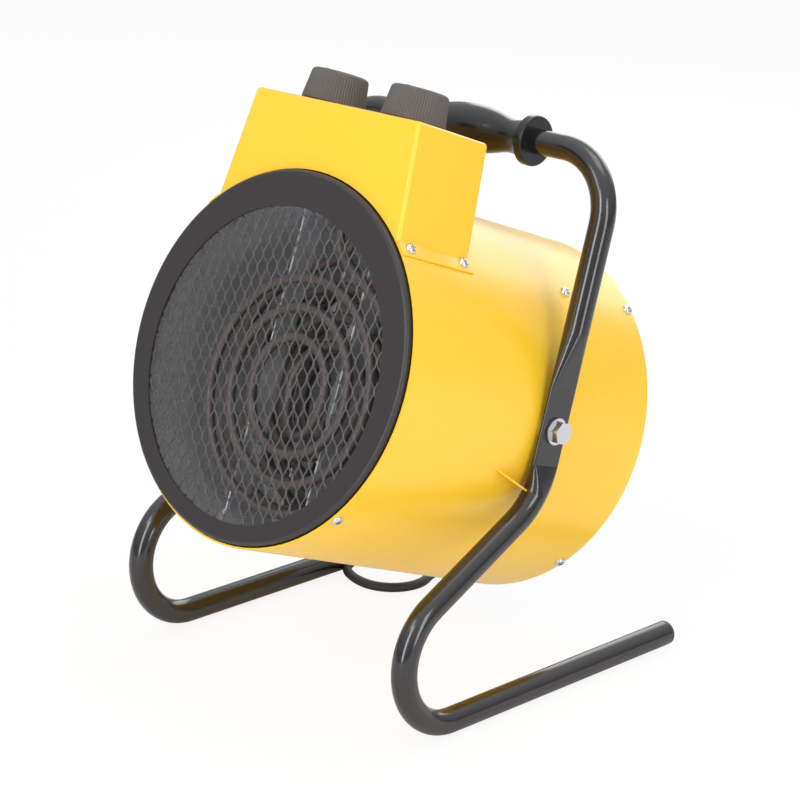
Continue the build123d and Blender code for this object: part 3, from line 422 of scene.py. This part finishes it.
# --- front ring -----------------------------------------------------------
# Pressed steel ring with a rolled edge, satin dark coat, its hole set lower
# than its rim.
ring_dark = surface("ring_dark", (0.023, 0.020, 0.022), (0.029, 0.025, 0.027), 0.36,
                    grain=900, bump=0.08)
coat("front_ring", ring_dark)

# --- mesh -----------------------------------------------------------------
# Expanded steel mesh behind the ring: long diamonds whose strands meet in short
# upright knots, the whole disc turned a little round its middle. Its flat
# strands are all tilted the same way, as the slitting press leaves them.
diamond_wide, diamond_tall, mesh_reach = 0.00845, 0.0173, 0.1012
strand_wide, strand_thick, strand_tilt = 0.0010, 0.0005, math.radians(25)
knot_wide, knot_half, strand_root, strand_share = 0.0013, 0.0014, 0.9, 0.26
mesh_turn, mesh_ahead, duct_drop = math.radians(-13.5), 0.1356, 0.0067


def strand(knot, start, end, wide):
    """One flat strand of the mesh between two points of its middle line."""
    along = Vector(end) - Vector(start)
    side = Matrix.Rotation(strand_tilt, 3, "Z") @ Vector((1, 0, 0))
    side = (side - along * side.dot(along) / along.length_squared).normalized()
    through = along.cross(side).normalized() * strand_thick / 2
    side = side * wide / 2
    ends = []
    for spot in (Vector(start), Vector(end)):
        ends.append([knot.verts.new(spot + side * a + through * b)
                     for a, b in ((1, 1), (-1, 1), (-1, -1), (1, -1))])
    for k in range(4):
        j = (k + 1) % 4
        knot.faces.new((ends[0][k], ends[0][j], ends[1][j], ends[1][k]))
    knot.faces.new(ends[0][::-1])
    knot.faces.new(ends[1])


# Each strand reaches a little over a quarter of a diamond, into its neighbour.
knot = bmesh.new()
strand(knot, (0, 0, -knot_half), (0, 0, knot_half), knot_wide)
for sx in (-1, 1):
    for sz in (-1, 1):
        tip = (sx * diamond_wide * strand_share, 0, sz * diamond_tall * strand_share)
        strand(knot, (0, 0, sz * knot_half * strand_root), tip, strand_wide)
bmesh.ops.recalc_face_normals(knot, faces=knot.faces)
mesh_knot = put(meshed("mesh_knot", knot), "mesh_knot")
mesh_steel = surface("mesh_steel", (0.060, 0.060, 0.064), (0.045, 0.045, 0.048), 0.4, 0.5,
                     grain=1200, bump=0.1)


def socket_of(tree, name, kind):
    """Add a named input to a tree of geometry nodes."""
    return tree.interface.new_socket(name, in_out="INPUT", socket_type="NodeSocket" + kind)


def feed(tree, socket, value):
    """Give an input a plain value, or the output of another node."""
    if isinstance(value, bpy.types.NodeSocket):
        tree.links.new(value, socket)
    else:
        socket.default_value = value


def grow(tree, kind, **inputs):
    """Add a node and feed the inputs that are named."""
    node = tree.nodes.new(kind)
    for name, value in inputs.items():
        feed(tree, node.inputs[name.replace("_", " ")], value)
    return node


def sum_of(tree, operation, first, second=0.0):
    """A sum of two values, either of which may come from another node."""
    node = tree.nodes.new("ShaderNodeMath")
    node.operation = operation
    for socket, value in zip(node.inputs, (first, second)):
        feed(tree, socket, value)
    return node.outputs[0]


def repeated(tree, points, thing, finish, **turned):
    """Set a thing at every point, as real faces in one finish, and give that
    as the result of the tree."""
    info = grow(tree, "GeometryNodeObjectInfo", Object=thing)
    spread = grow(tree, "GeometryNodeInstanceOnPoints", Points=points,
                  Instance=info.outputs["Geometry"], **turned)
    real = grow(tree, "GeometryNodeRealizeInstances", Geometry=spread.outputs[0])
    painted = grow(tree, "GeometryNodeSetMaterial", Geometry=real.outputs[0], Material=finish)
    tree.interface.new_socket("Geometry", in_out="OUTPUT", socket_type="NodeSocketGeometry")
    tree.links.new(painted.outputs[0], tree.nodes.new("NodeGroupOutput").inputs[0])


net = bpy.data.node_groups.new("expanded_mesh", "GeometryNodeTree")
wide_in = socket_of(net, "Diamond Wide", "Float")
tall_in = socket_of(net, "Diamond Tall", "Float")
reach_in = socket_of(net, "Reach", "Float")
knot_in = socket_of(net, "Knot", "Object")
finish_in = socket_of(net, "Finish", "Material")
given = net.nodes.new("NodeGroupInput").outputs
layers = []
for shift in (0.0, 0.5):
    counts, lengths = [], []
    for size in (given["Diamond Wide"], given["Diamond Tall"]):
        half = sum_of(net, "CEIL", sum_of(net, "DIVIDE", given["Reach"], size))
        steps = sum_of(net, "MULTIPLY", half, 2.0)
        counts.append(sum_of(net, "ADD", steps, 1.0))
        lengths.append(sum_of(net, "MULTIPLY", steps, size))
    grid = grow(net, "GeometryNodeMeshGrid", Size_X=lengths[0], Size_Y=lengths[1],
                Vertices_X=counts[0], Vertices_Y=counts[1])
    offset = grow(net, "ShaderNodeCombineXYZ",
                  X=sum_of(net, "MULTIPLY", given["Diamond Wide"], shift),
                  Z=sum_of(net, "MULTIPLY", given["Diamond Tall"], shift))
    upright = grow(net, "GeometryNodeTransform", Geometry=grid.outputs["Mesh"],
                   Translation=offset.outputs[0], Rotation=(math.pi / 2, 0, 0))
    layers.append(upright.outputs[0])
both = net.nodes.new("GeometryNodeJoinGeometry")
for layer in layers:
    net.links.new(layer, both.inputs[0])
spot = net.nodes.new("GeometryNodeInputPosition")
far = net.nodes.new("ShaderNodeVectorMath")
far.operation = "LENGTH"
net.links.new(spot.outputs[0], far.inputs[0])
outside = sum_of(net, "GREATER_THAN", far.outputs["Value"], given["Reach"])
kept = grow(net, "GeometryNodeDeleteGeometry", Geometry=both.outputs[0], Selection=outside)
repeated(net, kept.outputs[0], given["Knot"], given["Finish"])


def settled(piece):
    """A plain mesh of a piece with its modifiers carried out."""
    bpy.context.view_layer.update()
    return bpy.data.meshes.new_from_object(
        piece.evaluated_get(bpy.context.evaluated_depsgraph_get()))


def grown(tree, name, values, place):
    """Run a tree of geometry nodes and keep its result as a piece."""
    holder = put(bpy.data.meshes.new(name), name)
    run = holder.modifiers.new("grown", "NODES")
    run.node_group = tree
    for socket, value in values:
        run[socket.identifier] = value
    mesh = settled(holder)
    bpy.data.objects.remove(holder)
    return put(moved(mesh, place), name)


mesh_place = Matrix.Translation((0, -mesh_ahead, -duct_drop)) @ Matrix.Rotation(mesh_turn, 4, "Y")
grille = grown(net, "expanded_mesh", [(wide_in, diamond_wide), (tall_in, diamond_tall),
                                      (reach_in, mesh_reach), (knot_in, mesh_knot),
                                      (finish_in, mesh_steel)], tipped @ mesh_place)
bpy.data.objects.remove(mesh_knot)
fit(grille, "heater", "mesh_steel", "front_grille")

# --- duct -----------------------------------------------------------------
# Bright galvanised sheet round the elements and the fan, hung from the shell
# by two brackets.
galvanised = surface("galvanised", (0.90, 0.90, 0.91), (0.74, 0.75, 0.78), 0.34, 0.75,
                     grain=200, bump=0.35, spread=0.16)
coat("inner_duct", galvanised)
coat("duct_brackets", galvanised)

# --- heating elements -----------------------------------------------------
# Two steel sheathed rods, each wound in a layer of turns in and a layer out,
# browned by heat, with ceramic sleeves at their ends and plain spacer strips.
element_sheath = surface("element_sheath", (0.165, 0.130, 0.122), (0.095, 0.078, 0.076),
                         0.46, 0.45, grain=700, bump=0.35, spread=0.12)
ceramic = surface("ceramic", (0.80, 0.78, 0.72), (0.70, 0.67, 0.61), 0.35, grain=700)
coat("heating_element_front", element_sheath)
coat("heating_element_rear", element_sheath)
coat("element_spacers", galvanised)
coat("element_terminals", ceramic)

# --- fan and motor --------------------------------------------------------
# Five bent aluminium blades on a hub, driven by a small motor whose sheets,
# winding and bearing frames hang on four arms behind the fan.
fan_aluminium = surface("fan_aluminium", (0.62, 0.62, 0.63), (0.50, 0.50, 0.52), 0.34, 1.0,
                        grain=500, bump=0.08)
motor_steel = surface("motor_steel", (0.34, 0.34, 0.35), (0.22, 0.22, 0.23), 0.4, 0.9,
                      grain=250, bump=0.5, mapped=((nose_up, 0, 0), (0.2, 8.0, 0.2)))
winding_copper = surface("winding_copper", (0.50, 0.19, 0.07), (0.30, 0.10, 0.04), 0.33, 0.6,
                         grain=250, bump=0.6, mapped=((nose_up, 0, 0), (8.0, 0.2, 0.2)))
bearing_bronze = surface("bearing_bronze", (0.55, 0.36, 0.16), (0.42, 0.28, 0.13), 0.4, 1.0)
coat("fan_impeller", fan_aluminium)
coat("motor_frames", fan_aluminium)
coat("motor_cross", galvanised)
coat("motor_laminations", motor_steel)
coat("motor_rotor", motor_steel)
coat("motor_coil", winding_copper)
coat("motor_bearings", bearing_bronze)

# --- rear cover -----------------------------------------------------------
# Dished steel cover with rings of air slots, in the same coat as the ring.
coat("rear_cover", ring_dark)


# --- cable gland ----------------------------------------------------------
# Rubber cord grip through the rear cover, tapered and ringed so that it bends
# evenly where the cord leaves it.
def lathe(name, outline, sides=48, ribs=0, rib_deep=0.0, rib_from=0.0, rib_to=0.0):
    """Turn an outline of radius and height round Z. Ribs dent it along its
    side, between two heights."""
    made = bmesh.new()
    rings = []
    for radius, height in outline:
        ring = []
        for k in range(sides):
            a = 2 * math.pi * k / sides
            dent = 0.0
            if ribs and rib_from <= height <= rib_to:
                dent = rib_deep * (0.5 - 0.5 * math.cos(ribs * a)) ** 2
            r = max(radius - dent, 0.00001)
            ring.append(made.verts.new((r * math.cos(a), r * math.sin(a), height)))
        rings.append(ring)
    for a, b in zip(rings, rings[1:]):
        for k in range(sides):
            j = (k + 1) % sides
            made.faces.new((a[k], a[j], b[j], b[k]))
    made.faces.new(rings[0][::-1])
    made.faces.new(rings[-1])
    bmesh.ops.recalc_face_normals(made, faces=made.faces)
    mesh = meshed(name, made)
    mesh.shade_smooth()
    mesh.set_sharp_from_angle(angle=math.radians(35))
    return mesh


gland_long, gland_r, gland_taper = 0.0300, 0.0060, 0.0015
groove_count, groove_pitch, groove_deep = 6, 0.0038, 0.0008
gland_outline = [(0.0058, -0.0040), (0.0060, 0.0002), (0.0075, 0.0002), (0.0075, 0.0026),
                 (0.0071, 0.0030), (0.0062, 0.0032)]
for k in range(groove_count):
    height = 0.0050 + groove_pitch * k
    radius = gland_r - gland_taper * height / gland_long
    floor_r = radius - groove_deep
    gland_outline += [(radius, height), (radius, height + 0.0016),
                      (floor_r, height + 0.0019), (floor_r, height + 0.0034)]
gland_outline += [(0.0046, 0.0278), (0.0045, 0.0296), (0.0042, gland_long), (0.0033, gland_long)]
backwards = Matrix.Rotation(-math.pi / 2, 4, "X")
gland_place = tipped @ Matrix.Translation((-0.072, 0.0952, -0.062)) @ backwards
gland = put(moved(lathe("cord_grip", gland_outline), gland_place), "cord_grip", cord_rubber)
fit(gland, "heater", "cord_rubber", "cable_gland")


# --- knobs ----------------------------------------------------------------
# Matte grey plastic knobs for the thermostat, left, and the heat switch,
# right, with finely ribbed sides and a raised pointer line on top.
def block(name, size, middle, turn=0.0):
    """A block with this size and middle, then turned round Z."""
    made = bmesh.new()
    bmesh.ops.create_cube(made, size=1.0)
    bmesh.ops.scale(made, vec=size, verts=made.verts)
    bmesh.ops.translate(made, vec=middle, verts=made.verts)
    bmesh.ops.rotate(made, matrix=Matrix.Rotation(turn, 3, "Z"), verts=made.verts)
    return meshed(name, made)


knob_plastic = surface("knob_plastic", (0.125, 0.112, 0.108), (0.100, 0.090, 0.087), 0.62,
                       grain=1300, bump=0.3)
knob_x, knob_ahead, knob_lift, knob_high = 0.0348, 0.1006, 0.0012, 0.0200
knob_r, knob_taper, knob_round, knob_crown = 0.0204, 0.0021, 0.0032, 0.0001
rib_count, rib_deep, ribs_from, ribs_to = 64, 0.0005, 0.0012, 0.0182
side_from, side_to, knob_steps = 0.0014, knob_high - knob_crown - knob_round, 8
knob_outline = [(0.0030, 0.0120), (0.0030, 0.0050), (0.0080, 0.0050), (0.0080, 0.0),
                (0.0199, 0.0), (0.0204, 0.0004), (0.0205, 0.0010)]
for k in range(knob_steps + 1):
    knob_outline.append((knob_r - knob_taper * k / knob_steps,
                         side_from + (side_to - side_from) * k / knob_steps))
for k in range(1, knob_steps + 1):
    a = math.pi / 2 * k / knob_steps
    knob_outline.append((knob_r - knob_taper - knob_round * (1 - math.cos(a)),
                         side_to + knob_round * math.sin(a)))
knob_outline += [(0.0142, knob_high), (0.0138, knob_high - 0.0003), (0.0060, knob_high - 0.0002),
                 (0.0, knob_high - 0.0002)]
for name, x, body, solid in (("thermostat_dial", -knob_x, "thermostat", "thermostat_knob"),
                             ("switch_dial", knob_x, "selector", "switch_knob")):
    place = tipped @ Matrix.Translation((x, -knob_ahead, box_top + knob_lift))
    turned_knob = lathe(name, knob_outline, 6 * rib_count, rib_count, rib_deep, ribs_from, ribs_to)
    knob = put(moved(turned_knob, place), name, knob_plastic)
    fit(knob, body, "knob_plastic", solid)
    line_on_top = block(name + "_pointer", (0.0016, 0.0080, 0.0006), (0, -0.0095, knob_high))
    pointer = put(moved(line_on_top, place), name + "_pointer", knob_plastic)
    softened(pointer, 0.00025, 3)
    fit(pointer, body, "knob_plastic")

# --- screws ---------------------------------------------------------------
# Twelve zinc plated pan head screws with cross recesses: two through each
# foot of the box and four more along each side of the shell.
bright_zinc = surface("bright_zinc", (0.74, 0.75, 0.77), (0.60, 0.62, 0.66), 0.2, 1.0,
                      grain=700, bump=0.06, spread=0.08)
head_outline = [(0.0017, -0.006), (0.0017, 0.0), (0.0036, 0.0), (0.0036, 0.0006),
                (0.0034, 0.0012), (0.0029, 0.0018), (0.0021, 0.0022), (0.0011, 0.0023),
                (0.0, 0.0023)]
screw_head = put(lathe("screw_head", head_outline, 32), "screw_head")
for turn in (0, math.pi / 2):
    slit = put(block("recess", (0.0040, 0.0008, 0.0024), (0, 0, 0.0024), turn), "recess")
    cut = screw_head.modifiers.new("recess", "BOOLEAN")
    cut.operation = "DIFFERENCE"
    cut.object = slit
    mesh = settled(screw_head)
    screw_head.modifiers.clear()
    screw_head.data = mesh
    bpy.data.objects.remove(slit)

# How far ahead of the pivot, at which angle, and what lies under the head.
seats = []
for ahead, angle, under in ((0.1250, 45.8, box_wall), (0.0762, 46.1, box_wall),
                            (0.1292, -42.6, 0), (-0.0256, 46.5, 0), (-0.0910, 46.3, 0),
                            (-0.0910, -45.4, 0)):
    for turn in (angle, 180 - angle):
        a = math.radians(turn)
        out = Vector((math.cos(a), 0, math.sin(a)))
        seats.append((out * (shell_r + under) + Vector((0, -ahead, -shell_drop)), out))
spots = bpy.data.meshes.new("screw_spots")
spots.from_pydata([seat for seat, out in seats], [], [])
outward = spots.attributes.new("outward", "FLOAT_VECTOR", "POINT")
for value, (seat, out) in zip(outward.data, seats):
    value.vector = out
screw_spots = put(spots, "screw_spots")

row = bpy.data.node_groups.new("shell_screws", "GeometryNodeTree")
spots_in = socket_of(row, "Spots", "Object")
head_in = socket_of(row, "Head", "Object")
zinc_in = socket_of(row, "Finish", "Material")
given = row.nodes.new("NodeGroupInput").outputs
spots_info = grow(row, "GeometryNodeObjectInfo", Object=given["Spots"])
named = row.nodes.new("GeometryNodeInputNamedAttribute")
named.data_type = "FLOAT_VECTOR"
named.inputs["Name"].default_value = "outward"
upright = row.nodes.new("FunctionNodeAlignRotationToVector")
upright.axis = "Z"
row.links.new(named.outputs["Attribute"], upright.inputs["Vector"])
repeated(row, spots_info.outputs["Geometry"], given["Head"], given["Finish"],
         Rotation=upright.outputs["Rotation"])
screws = grown(row, "pan_head_screws", [(spots_in, screw_spots), (head_in, screw_head),
                                        (zinc_in, bright_zinc)], tipped)
fit(screws, "heater", "bright_zinc", "shell_screws")
bpy.data.objects.remove(screw_spots)
bpy.data.objects.remove(screw_head)
coat("cross_screws", bright_zinc)
coat("fan_nut", bright_zinc)
coat("motor_bolts", bright_zinc)

# --- pivot bolts ----------------------------------------------------------
# A bright hexagon bolt through each leg, with a plain washer under its head,
# a spacer against the shell, and a plate and nut inside.
coat("pivot_bolts", bright_zinc)
coat("pivot_washers", bright_zinc)
coat("pivot_nuts", bright_zinc)

# --- controls and wiring --------------------------------------------------
# Thermostat, rotary switch, sensing bulb, cut-out, terminal block and wires
# under the box.
inner_plastic = surface("inner_plastic", (0.03, 0.03, 0.03), (0.045, 0.044, 0.043), 0.45)
shaft_steel = surface("shaft_steel", (0.55, 0.55, 0.56), (0.42, 0.42, 0.44), 0.3, 1.0)
for node, finish in (("rotary_switch", inner_plastic), ("thermostat_body", ceramic),
                     ("thermostat_spindle", shaft_steel), ("switch_spindle", shaft_steel),
                     ("thermostat_bulb", winding_copper), ("thermal_cutout", inner_plastic),
                     ("terminal_block", ceramic), ("inner_lead", cord_rubber),
                     ("inner_wires", inner_plastic)):
    coat(node, finish)
